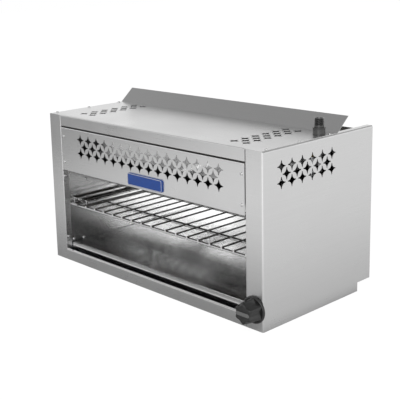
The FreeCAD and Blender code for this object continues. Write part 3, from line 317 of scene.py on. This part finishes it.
materials = {
    # outer_steel carries a painted shade on the baffle behind the star vents.
    "outer_steel": brushed_steel("outer_steel", grey(0.72), 0.3, painted_shade=shade_behind_stars),
    "flue_steel": brushed_steel("flue_steel", grey(0.62), 0.34, stain=0.06),
    # inner_steel carries a painted shade beside the burner.
    "inner_steel": brushed_steel("inner_steel", grey(0.8), 0.12, stain=0.01, wave=0.0003,
                                 painted_shade=shade_beside_burner),
    "tray_steel": brushed_steel("tray_steel", grey(0.78), 0.12, stain=0.01, wave=0.0003),
    "plated_steel": plain_metal("plated_steel", (0.56, 0.58, 0.6, 1), 0.42),
    "fastener_steel": plain_metal("fastener_steel", grey(0.7), 0.22, depth=0.00005),
    "rack_chrome": wire_chrome("rack_chrome", grey(0.34), 0.12),
    "burner_steel": plain_metal("burner_steel", (0.2, 0.18, 0.16, 1), 0.55, spread=0.3),
    "burner_ceramic": tile_ceramic("burner_ceramic", (0.62, 0.55, 0.45, 1)),
    "brass": plain_metal("brass", (0.36, 0.28, 0.15, 1), 0.4),
    "pipe_steel": plain_metal("pipe_steel", grey(0.09), 0.2, spread=0.16),
    "gas_pipe": plain_metal("gas_pipe", grey(0.42), 0.24, spread=0.2),
    "tube_aluminium": plain_metal("tube_aluminium", (0.75, 0.76, 0.77, 1), 0.32),
    "knob_plastic": painted("knob_plastic", grey(0.018), 0.32, coat=0.25),
    "pointer_plastic": painted("pointer_plastic", grey(0.16), 0.45),
    "badge_blue": painted("badge_blue", (0.012, 0.065, 0.31, 1), 0.5),
}

slot_of = {entry["node"]: entry["material_slot"] for entry in frame["record"]["subparts"]}
for name, node in nodes.items():
    for slot in node.material_slots:
        slot.material = materials[slot_of[name]]


# Mesh building

MERGE = 1e-6
POINT_DIGITS = 6
QUARTER = pi / 2


def mesh_object(name, shape, slot, body, *replaced):
    """Turn a bmesh into a piece of the object."""
    mesh = bpy.data.meshes.new(name)
    bmesh.ops.remove_doubles(shape, verts=shape.verts, dist=MERGE)
    bmesh.ops.recalc_face_normals(shape, faces=shape.faces)
    shape.to_mesh(mesh)
    shape.free()
    piece = bpy.data.objects.new(name, mesh)
    bpy.context.scene.collection.objects.link(piece)
    piece.data.materials.append(materials[slot])
    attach(piece, body)
    if replaced:
        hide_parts(*replaced)
    return piece


def smooth(piece, angle):
    """Smooth shading across edges that bend by less than an angle in degrees."""
    with bpy.context.temp_override(object=piece, active_object=piece, selected_objects=[piece],
                                   selected_editable_objects=[piece]):
        bpy.ops.object.shade_smooth_by_angle(angle=radians(angle))


def loft(shape, rings, matrix, closed=True):
    """Rings of points, each as long as the last, joined by faces. The ends may be closed."""
    rows = [[shape.verts.new(matrix @ Vector(point)) for point in ring] for ring in rings]
    for row, following in zip(rows, rows[1:]):
        for number in range(len(row)):
            other = (number + 1) % len(row)
            shape.faces.new((row[number], row[other], following[other], following[number]))
    if closed:
        shape.faces.new(list(reversed(rows[0])))
        shape.faces.new(rows[-1])


def circle(radius, height, count):
    return [(radius * cos(2 * pi * number / count), radius * sin(2 * pi * number / count), height)
            for number in range(count)]


def bends(steps):
    """Angles in even steps up to a right angle, without the start."""
    return [step / steps * QUARTER for step in range(1, steps + 1)]


def facing(axis, place):
    """A frame whose Z axis points along the given direction."""
    return Matrix.Translation(place) @ Vector(axis).to_track_quat("Z", "Y").to_matrix().to_4x4()


def upright_round(low, high):
    """The foot, outer radius and height of a round that stands upright in a box."""
    foot = Vector(((low.x + high.x) / 2, (low.y + high.y) / 2, low.z))
    return foot, (high.x - low.x) / 2, high.z - low.z


def islands(node):
    """The boxes of a node's separate solids."""
    mesh = nodes[node].data
    keys = {}
    parent = list(range(len(mesh.vertices)))

    def root(number):
        while parent[number] != number:
            parent[number] = parent[parent[number]]
            number = parent[number]
        return number

    for vertex in mesh.vertices:
        key = tuple(round(part, POINT_DIGITS) for part in vertex.co)
        if key in keys:
            parent[root(vertex.index)] = root(keys[key])
        else:
            keys[key] = vertex.index
    for edge in mesh.edges:
        parent[root(edge.vertices[0])] = root(edge.vertices[1])
    groups = {}
    for vertex in mesh.vertices:
        groups.setdefault(root(vertex.index), []).append(vertex.co)
    boxes = []
    for points in groups.values():
        low = Vector([min(point[axis] for point in points) for axis in range(3)])
        high = Vector([max(point[axis] for point in points) for axis in range(3)])
        boxes.append((low, high))
    return boxes


# Screws: a domed head with a crossed recess on a plain shank

HEAD = 0.0046
HEAD_SEAT = HEAD * 0.97
HEAD_FLAT = HEAD * 0.56
HEAD_DOME = HEAD * 0.44
SEAT_EDGE = 0.0003
CROWN = 0.0028
RIM = 0.0014
DOME_STEPS = 5
SHANK = 0.0021
TIP = SHANK * 0.75
TIP_LENGTH = 0.0006
RECESS_ARM = 0.0021
RECESS_HALF = 0.0005
RECESS_DEPTH = 0.0016
RECESS_END_ARM = 0.0012
RECESS_END_HALF = 0.00032
EDGE_POINTS = 2
FIRST_TURN = 0.2
NEXT_TURN = 0.37


def cross_outline(arm, half, height):
    corners = [(arm, -half), (arm, half), (half, half), (half, arm), (-half, arm), (-half, half),
               (-arm, half), (-arm, -half), (-half, -half), (-half, -arm), (half, -arm),
               (half, -half)]
    points = []
    for number, (x, y) in enumerate(corners):
        following = corners[(number + 1) % len(corners)]
        for step in range(EDGE_POINTS):
            share = step / EDGE_POINTS
            points.append((x + (following[0] - x) * share, y + (following[1] - y) * share, height))
    return points


def ring_like(outline, radius, height):
    """A circle whose points stand at the same bearings as those of an outline."""
    return [(radius * cos(atan2(y, x)), radius * sin(atan2(y, x)), height) for x, y, _ in outline]


def add_screw(shape, matrix, length, turn):
    """Z points out of the head; the seat is at zero."""
    outline = cross_outline(RECESS_ARM, RECESS_HALF, CROWN)
    rings = [ring_like(outline, TIP, -length), ring_like(outline, SHANK, -length + TIP_LENGTH),
             ring_like(outline, SHANK, 0), ring_like(outline, HEAD_SEAT, 0),
             ring_like(outline, HEAD, SEAT_EDGE), ring_like(outline, HEAD, RIM)]
    for bend in bends(DOME_STEPS)[:-1]:
        rings.append(ring_like(outline, HEAD_FLAT + HEAD_DOME * cos(bend),
                               RIM + (CROWN - RIM) * sin(bend)))
    rings.append(ring_like(outline, HEAD_FLAT, CROWN))
    rings.append(outline)
    rings.append(cross_outline(RECESS_END_ARM, RECESS_END_HALF, CROWN - RECESS_DEPTH))
    loft(shape, rings, matrix @ Matrix.Rotation(turn, 4, "Z"))


def screws(node, axis_of):
    shape = bmesh.new()
    for number, (low, high) in enumerate(sorted(islands(node), key=lambda box: tuple(box[0]))):
        middle = (low + high) / 2
        axis = Vector(axis_of(middle))
        reach = abs((high - low).dot(axis))
        seat = middle + axis * (reach / 2 - CROWN)
        add_screw(shape, facing(axis, seat), reach - CROWN, NEXT_TURN * number + FIRST_TURN)
    smooth(mesh_object(node + "_heads", shape, "fastener_steel", "cabinet", node), angle=30)


def inward(middle):
    return (-1, 0, 0) if middle.x > 0 else (1, 0, 0)


screws("top_screws", lambda middle: (0, 0, 1))
screws("panel_screws", lambda middle: (0, -1, 0))
screws("rear_screws", lambda middle: (0, 1, 0))
for inner in ("jamb_screws", "rail_screws", "liner_screws"):
    screws(inner, inward)


# Gas inlet: a threaded nipple in a banded collar

def pipe_nipple():
    low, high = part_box("inlet_nipple")
    foot, radius, tall = upright_round(low, high)
    collar_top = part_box("inlet_collar")[1].z - foot.z
    bore = 0.0104
    neck = 0.0126
    pitch = 0.00181
    depth = 0.0009
    end = 0.0012
    plain = 0.004
    run = 0.003
    edge = 0.0006
    lip = 0.0004
    count = 48
    rows = 84
    rings = [circle(bore, 0, count), circle(neck, 0, count), circle(neck, collar_top, count)]
    for row in range(rows + 1):
        height = collar_top + (tall - end - collar_top) * row / rows
        ring = []
        for number in range(count):
            turn = number / count
            phase = (height / pitch + turn) % 1
            run_out = min(1.0, max(0.0, (height - collar_top - plain) / run))
            r = radius - depth * run_out * abs(2 * phase - 1)
            ring.append((r * cos(2 * pi * turn), r * sin(2 * pi * turn), height))
        rings.append(ring)
    rings += [circle(radius - depth - edge, tall, count), circle(bore + lip, tall, count),
              circle(bore, tall - edge, count), circle(bore, 0.0, count)]
    shape = bmesh.new()
    loft(shape, rings, Matrix.Translation(foot), closed=False)
    smooth(mesh_object("pipe_nipple", shape, "pipe_steel", "cabinet", "inlet_nipple"), angle=50)


def pipe_collar():
    low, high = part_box("inlet_collar")
    foot, radius, tall = upright_round(low, high)
    bore = 0.0099
    wide_bore = 0.0126
    waist = radius - 0.0006
    edge = 0.0005
    top_drop = 0.0008
    chamfer = 0.001
    low_band = tall * 0.16
    waist_start = tall * 0.2
    waist_end = tall * 0.8
    high_band = tall * 0.84
    count = 64
    profile = [(bore, 0), (radius - edge, 0), (radius, edge), (radius, low_band),
               (waist, waist_start), (waist, waist_end), (radius, high_band),
               (radius, tall - top_drop), (radius - chamfer, tall), (wide_bore + chamfer, tall),
               (wide_bore, tall - chamfer), (wide_bore, tall / 2), (bore, tall / 2), (bore, 0)]
    shape = bmesh.new()
    loft(shape, [circle(r, height, count) for r, height in profile], Matrix.Translation(foot),
         closed=False)
    smooth(mesh_object("pipe_collar", shape, "pipe_steel", "cabinet", "inlet_collar"), angle=30)


pipe_nipple()
pipe_collar()


# Knob: a rounded skirt and a tapered grip with hollow flutes

def knob_frame():
    low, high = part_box("knob_skirt")
    place = Vector(((low.x + high.x) / 2, high.y, (low.z + high.z) / 2))
    return facing((0, -1, 0), place), (high.x - low.x) / 2, high.y


KNOB, SKIRT_RADIUS, KNOB_BACK = knob_frame()
ROUND_STEPS = 6


def skirt():
    thick = KNOB_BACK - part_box("knob_skirt")[0].y
    hole = 0.0042
    edge = 0.0006
    side = thick * 0.36
    crown = thick * 0.64
    rounding = 0.0034
    lip = 0.0014
    face = thick - 0.0004
    count = 96
    profile = [(hole, 0), (SKIRT_RADIUS - edge, 0), (SKIRT_RADIUS, edge), (SKIRT_RADIUS, side)]
    for bend in bends(ROUND_STEPS):
        profile.append((SKIRT_RADIUS - rounding + rounding * cos(bend), side + crown * sin(bend)))
    profile += [(SKIRT_RADIUS - rounding - lip, face), (hole, face), (hole, 0)]
    shape = bmesh.new()
    loft(shape, [circle(r, height, count) for r, height in profile], KNOB, closed=False)
    smooth(mesh_object("skirt", shape, "knob_plastic", "knob", "knob_skirt"), angle=40)


def grip():
    low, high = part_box("knob_grip")
    start = KNOB_BACK - high.y
    end = KNOB_BACK - low.y
    tall = end - start
    wide = 0.0345
    narrow = 0.029
    edge = 0.004
    lobes = 6
    depth = 0.0062
    hollow = 1.5
    fade = 0.35
    side_steps = 8
    count = 144
    dished_face = ((0.0065, 0.0), (0.009, 0.0006), (0.013, 0.001), (0.02, 0.0012))

    def ring(share, shrink, height):
        radius = wide + (narrow - wide) * share - shrink
        points = []
        for number in range(count):
            angle = 2 * pi * number / count
            wave = abs(cos(lobes * angle / 2)) ** hollow
            r = radius - depth * wave * (1 - fade * (shrink / edge if shrink < edge else 1))
            points.append((r * cos(angle), r * sin(angle), height))
        return points

    rings = []
    for step in range(side_steps + 1):
        share = step / side_steps
        rings.append(ring(share * (tall - edge) / tall, 0, start + (tall - edge) * share))
    for bend in bends(ROUND_STEPS):
        rings.append(ring(1, edge * (1 - cos(bend)), end - edge + edge * sin(bend)))
    for inset, drop in dished_face:
        rings.append(ring(1, inset, end - drop))
    shape = bmesh.new()
    loft(shape, rings, KNOB)
    smooth(mesh_object("grip", shape, "knob_plastic", "knob", "knob_grip"), angle=50)


def pointer():
    """A raised level bar on the knob's face, with rounded ends and edges."""
    low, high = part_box("knob_pointer")
    centre = (low + high) / 2
    half_long = (high.x - low.x) / 2
    half_short = (high.z - low.z) / 2
    top = KNOB_BACK - low.y
    base = KNOB_BACK - high.y
    end_steps = 12
    rounding = ((0, 0.0006), (0.0002, 0.0002), (0.0007, 0))

    def outline(shrink, height):
        points = []
        radius = half_short - shrink
        reach = half_long - shrink - radius
        for side, start in ((1, -QUARTER), (-1, QUARTER)):
            for step in range(end_steps + 1):
                angle = start + pi * step / end_steps
                points.append((side * reach + radius * cos(angle), radius * sin(angle), height))
        return points

    rings = [outline(0, base)] + [outline(shrink, top - drop) for shrink, drop in rounding]
    place = facing((0, -1, 0), Vector((centre.x, KNOB_BACK, centre.z)))
    shape = bmesh.new()
    loft(shape, rings, place)
    smooth(mesh_object("pointer", shape, "pointer_plastic", "knob", "knob_pointer"), angle=40)


skirt()
grip()
pointer()


# Badge: a blank enamel plate in a bright rim

def badge():
    low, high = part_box("badge_plate")
    centre = (low + high) / 2
    half_x = (high.x - low.x) / 2
    half_z = (high.z - low.z) / 2
    thick = high.y - low.y
    corner = 0.006
    least_corner = 0.001
    corner_steps = 6
    rim_profile = ((0.001, 0.0012), (0.001, 0.0001), (0.0011, 0), (0.0025, 0), (0.0026, 0.0004))
    face_profile = ((0, 0.0003), (0.0003, 0), (0.001, 0), (0.0011, 0.0008), (0.0025, 0.0008),
                    (0.0027, 0.0002), (0.0045, 0))
    corners = ((1, -1, -QUARTER), (1, 1, 0), (-1, 1, QUARTER), (-1, -1, pi))
    place = facing((0, -1, 0), Vector((centre.x, high.y, centre.z)))

    def outline(shrink, height):
        points = []
        radius = max(corner - shrink, least_corner)
        for side_x, side_y, start in corners:
            for step in range(corner_steps + 1):
                angle = start + QUARTER * step / corner_steps
                points.append((side_x * (half_x - shrink - radius) + radius * cos(angle),
                               side_y * (half_z - shrink - radius) + radius * sin(angle), height))
        return points

    rim = bmesh.new()
    loft(rim, [outline(shrink, thick - drop) for shrink, drop in rim_profile], place)
    smooth(mesh_object("badge_rim", rim, "fastener_steel", "cabinet"), angle=40)
    face = bmesh.new()
    rings = [outline(0, 0)] + [outline(shrink, thick - drop) for shrink, drop in face_profile]
    loft(face, rings, place)
    smooth(mesh_object("badge_face", face, "badge_blue", "cabinet", "badge_plate"), angle=40)


badge()


# Floor, sky and lamp

def floor():
    """A plain floor to the camera. In reflections on metal it glows with painted light: darker close
    by and on the far left as a painted shade, and brighter at a corner as a painted highlight.
    """
    shown = 0.9
    corner_glow = 0.5
    shape = bmesh.new()
    bmesh.ops.create_grid(shape, x_segments=1, y_segments=1, size=14)
    mesh = bpy.data.meshes.new("floor")
    shape.to_mesh(mesh)
    shape.free()
    piece = bpy.data.objects.new("floor", mesh)
    bpy.context.scene.collection.objects.link(piece)
    material, tree = new_material("floor")
    path = tree.add("ShaderNodeLightPath").outputs
    at = tree.split(tree.place())
    x = at["X"]
    y = at["Y"]
    # Seen in reflections only: painted shade near the object and far to the left.
    ahead = tree.product(tree.remap(x, low=0.12, high=0.8, start=-2.1, end=-0.9),
                         tree.remap(y, low=0.2, high=1.0, start=-0.25, end=-1.1))
    beside = tree.remap(x, low=0.45, high=0.72, start=0.46, end=1.1)
    plain = tree.blend(tree.rising(x, start=0.42, end=0.5), ahead, beside)
    # A painted highlight at the front right corner, seen in reflections only.
    corner = tree.product(tree.rising(x, start=0.55, end=0.8),
                          tree.falling(y, start=-0.8, end=-0.45),
                          tree.falling(x, start=1.5, end=2.1))
    mirrored = tree.math("ADD", plain, tree.product(corner, corner_glow))
    mirror = tree.math("MAXIMUM", path["Is Glossy Ray"], path["Is Transmission Ray"])
    seen = tree.math("MAXIMUM", path["Is Camera Ray"], mirror)
    level = tree.blend(mirror, shown, mirrored)
    matte = tree.add("ShaderNodeBsdfDiffuse", {"Color": grey(0.8)})
    dim = tree.add("ShaderNodeBsdfDiffuse", {"Color": grey(0.24)})
    glow = tree.add("ShaderNodeEmission", {"Color": grey(1.0), "Strength": level})
    both = tree.add("ShaderNodeAddShader", {0: glow.outputs[0], 1: dim.outputs[0]})
    mixed = tree.add("ShaderNodeMixShader", {0: seen, 1: matte.outputs[0], 2: both.outputs[0]})
    tree.add("ShaderNodeOutputMaterial", {"Surface": mixed.outputs[0]})
    mesh.materials.append(material)


def sky():
    """White to the camera. To the object it is brightest low down, with a faint panel ahead
    that shows in reflections only."""
    overhead = 0.36
    horizon = 1.2
    panel_glow = 0.25
    world = bpy.data.worlds.new("sky")
    bpy.context.scene.world = world
    world.use_nodes = True
    tree = Tree(world.node_tree)
    path = tree.add("ShaderNodeLightPath").outputs
    way = tree.split(tree.add("ShaderNodeTexCoord").outputs["Generated"])
    lowness = tree.falling(way["Z"], start=0.12, end=0.62)
    ahead = tree.falling(way["Y"], start=-0.6, end=-0.3)
    low = tree.falling(way["Z"], start=0.45, end=0.75)
    clear = tree.rising(way["Z"], start=0.04, end=0.12)
    left = tree.remap(way["X"], low=1, high=0.7, start=-0.4, end=0.3)
    panel = tree.product(low, ahead, tree.product(clear, left), path["Is Glossy Ray"])
    level = tree.math("ADD", tree.blend(lowness, overhead, horizon),
                      tree.product(panel, panel_glow))
    soft = tree.add("ShaderNodeBackground", {"Color": grey(1.0), "Strength": level})
    white = tree.add("ShaderNodeBackground", {"Color": grey(1.0), "Strength": 1.0})
    mixed = tree.add("ShaderNodeMixShader", {0: path["Is Camera Ray"], 1: soft.outputs[0],
                                             2: white.outputs[0]})
    tree.add("ShaderNodeOutputWorld", {"Surface": mixed.outputs[0]})


def lamp(name, place, target, wide, tall, power):
    data = bpy.data.lights.new(name, "AREA")
    data.shape = "RECTANGLE"
    data.size = wide
    data.size_y = tall
    data.energy = power
    light = bpy.data.objects.new(name, data)
    bpy.context.scene.collection.objects.link(light)
    light.location = place
    light.rotation_euler = (Vector(target) - Vector(place)).to_track_quat("-Z", "Y").to_euler()


floor()
sky()
lamp("key", place=(2.6, -3.0, 2.6), target=(0, 0, 0.2), wide=3.4, tall=3.0, power=50)


# Camera

def camera():
    place = (1.875615, -1.842027, 0.949799)
    yaw, pitch, roll = -0.836169, -0.2108, -0.028228
    ahead = Vector((sin(yaw) * cos(pitch), cos(yaw) * cos(pitch), sin(pitch)))
    level = Vector((cos(yaw), -sin(yaw), 0))
    above = level.cross(ahead)
    right = level * cos(roll) + above * sin(roll)
    up = above * cos(roll) - level * sin(roll)
    data = bpy.data.cameras.new("camera")
    data.lens = 79.031
    data.sensor_width = 36
    data.shift_x = 0.0875
    data.shift_y = -0.125
    data.clip_start = 0.05
    piece = bpy.data.objects.new("camera", data)
    bpy.context.scene.collection.objects.link(piece)
    turn = Matrix((right, up, -ahead)).transposed().to_4x4()
    piece.matrix_world = Matrix.Translation(place) @ turn
    bpy.context.scene.camera = piece


camera()
bpy.context.scene.view_settings.view_transform = "Standard"
